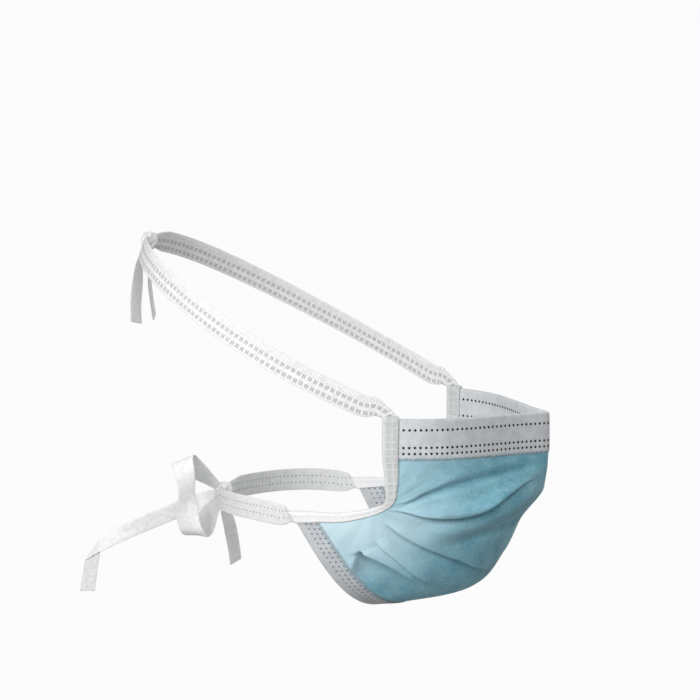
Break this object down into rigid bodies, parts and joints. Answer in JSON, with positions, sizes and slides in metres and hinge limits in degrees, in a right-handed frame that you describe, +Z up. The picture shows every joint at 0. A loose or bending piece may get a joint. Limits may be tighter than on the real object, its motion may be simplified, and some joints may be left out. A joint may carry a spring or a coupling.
{
  "type": "surgical mask",
  "caption": "Tie-on surgical mask in its worn form: a pleated cup over nose, mouth and chin, with tape ties knotted at the crown and bowed at the nape.",
  "frame": {"origin": "inside of the top edge, in the middle, where it sits on the nose bridge", "axes": "+Z up, -Y the way the mask faces, -X the wearer's right"},
  "size_m": [0.1424, 0.221, 0.17],
  "materials": {
    "blue_nonwoven": "soft matt spunbond with a faint sheen, pale blue outside and white inside",
    "white_nonwoven": "soft matt white spunbond with rows of small weld dots",
    "white_tape": "thin white embossed spunbond tape, slightly see-through"
  },
  "bodies": {
    "root": {"pleated_panel": "blue_nonwoven", "nose_hem": "white_nonwoven", "chin_hem": "white_nonwoven", "side_binding_right": "white_tape", "side_binding_left": "white_tape", "upper_tie_right": "white_tape", "upper_tie_left": "white_tape", "lower_tie_right": "white_tape", "lower_tie_left": "white_tape", "nape_knot": "white_tape", "nape_bow_loop": "white_tape", "nape_bow_tail": "white_tape", "nape_short_end": "white_tape", "crown_knot": "white_tape", "crown_end_right": "white_tape", "crown_end_left": "white_tape"}
  },
  "joints": []
}
